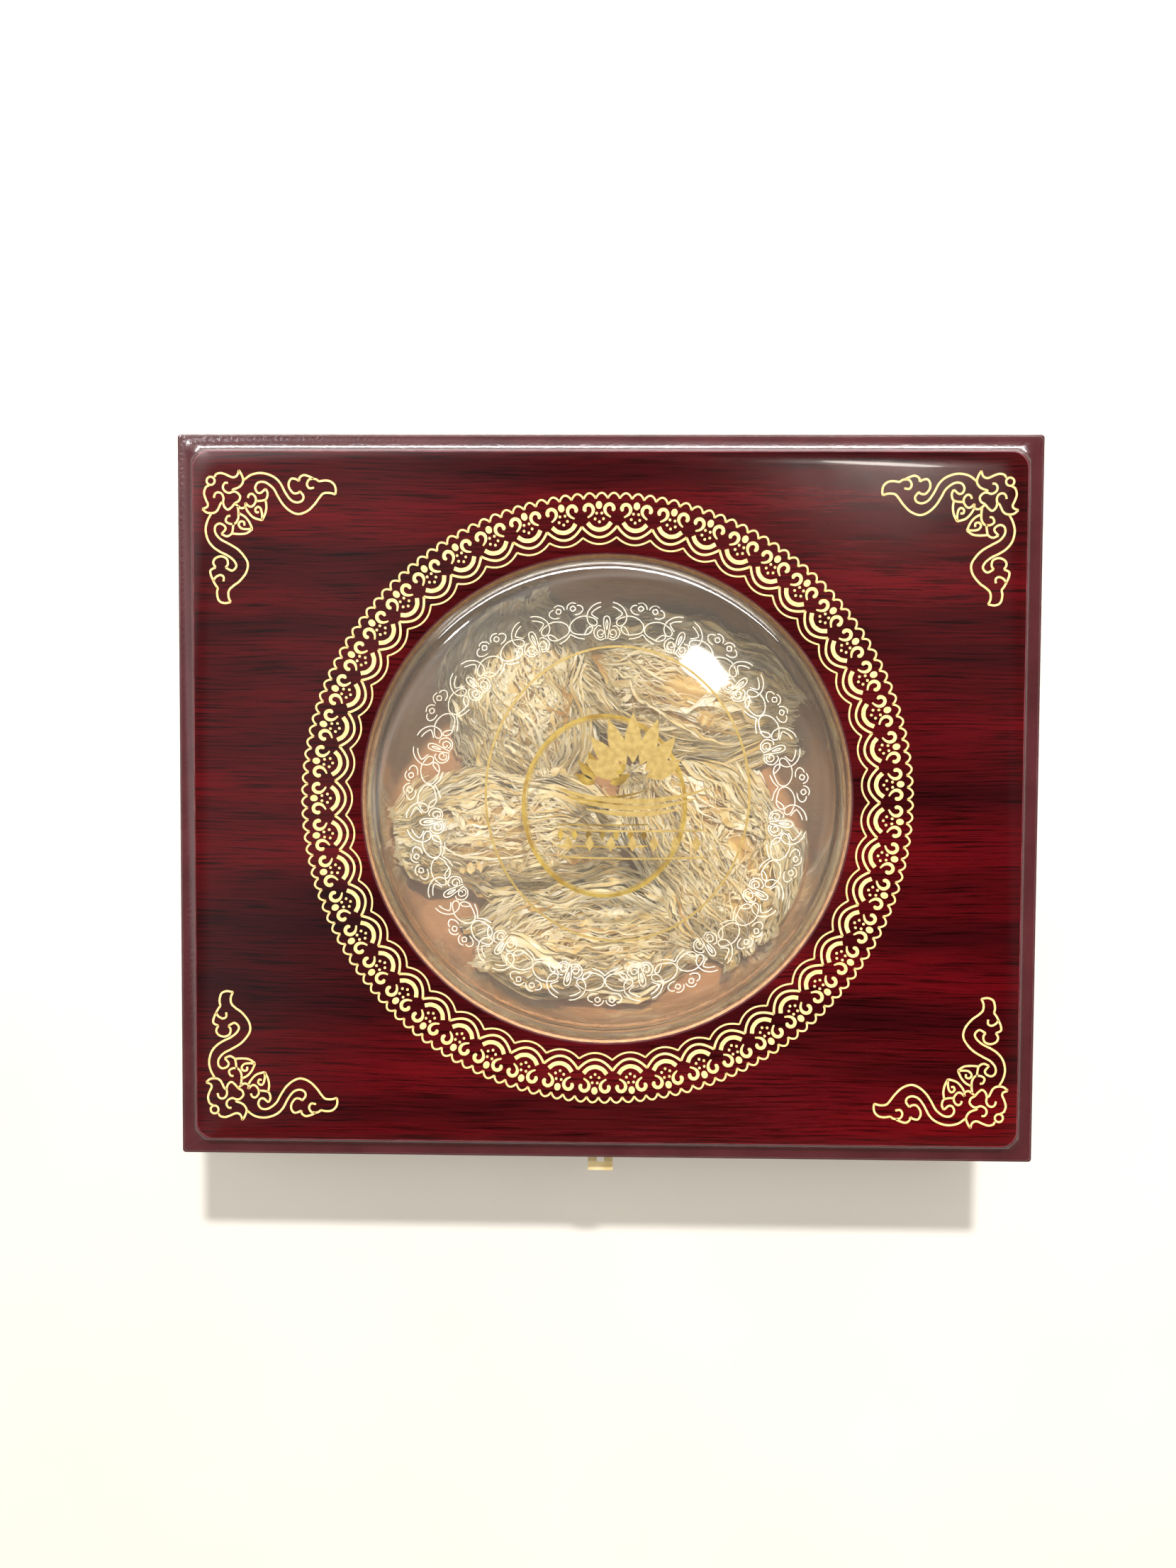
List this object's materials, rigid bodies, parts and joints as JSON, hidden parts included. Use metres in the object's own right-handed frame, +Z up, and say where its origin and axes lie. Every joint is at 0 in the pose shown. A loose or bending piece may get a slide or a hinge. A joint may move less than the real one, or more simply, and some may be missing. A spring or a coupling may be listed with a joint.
{
  "type": "boxed edible birds nest in a hinged presentation box with a domed window",
  "caption": "Dried edible swiftlet nests in a round clear container, inside a hinged wooden presentation box with a clear domed window, moulded lid edge and front latch.",
  "frame": {"origin": "middle of the flat underside of the bottom board", "axes": "+X to the right and +Y towards the hinges, seen from the latch side; +Z up through the domed window"},
  "size_m": [0.32, 0.2793, 0.099],
  "materials": {
    "satin_paint": "satin purple-brown paint on board",
    "wood_film": "glossy rosewood film, with gold print on the lid",
    "satin_cloth": "golden brown satin",
    "clear_plastic": "clear moulded sheet",
    "nest": "dried translucent strands",
    "brass": "polished, lacquered"
  },
  "bodies": {
    "base": {"bottom_board": "satin_paint", "base_wall_front": "wood_film", "base_wall_right": "wood_film", "base_wall_back": "wood_film", "base_wall_left": "wood_film", "satin_insert": "satin_cloth", "container_tray": "clear_plastic", "container_cover": "clear_plastic", "nest_upper_left": "nest", "nest_upper_right": "nest", "nest_left": "nest", "nest_right": "nest", "nest_lower": "nest", "hinge_base_leaf_left": "brass", "hinge_base_leaf_right": "brass", "hinge_base_screw_left_a": "brass", "hinge_base_screw_left_b": "brass", "hinge_base_screw_right_a": "brass", "hinge_base_screw_right_b": "brass", "latch_base_plate": "brass", "latch_base_screw_a": "brass", "latch_base_screw_b": "brass"},
    "lid": {"lid_rim_front": "wood_film", "lid_rim_right": "wood_film", "lid_rim_back": "wood_film", "lid_rim_left": "wood_film", "lid_panel": "wood_film", "window_dome": "clear_plastic", "hinge_lid_leaf_left": "brass", "hinge_lid_leaf_right": "brass", "hinge_lid_screw_left_a": "brass", "hinge_lid_screw_left_b": "brass", "hinge_lid_screw_right_a": "brass", "hinge_lid_screw_right_b": "brass", "latch_hook_plate": "brass", "latch_hook_screw_a": "brass", "latch_hook_screw_b": "brass"},
    "hasp": {"latch_hasp": "brass"}
  },
  "joints": [
    {"name": "lid_hinge", "type": "hinge", "parent": "base", "child": "lid", "pos_m": [0, 0.1338, 0.0545], "axis": [-1, 0, 0], "range_deg": [0, 100]},
    {"name": "hasp_hinge", "type": "hinge", "parent": "base", "child": "hasp", "pos_m": [-0.0015, -0.1342, 0.0523], "axis": [1, 0, 0], "range_deg": [0, 135]}
  ]
}
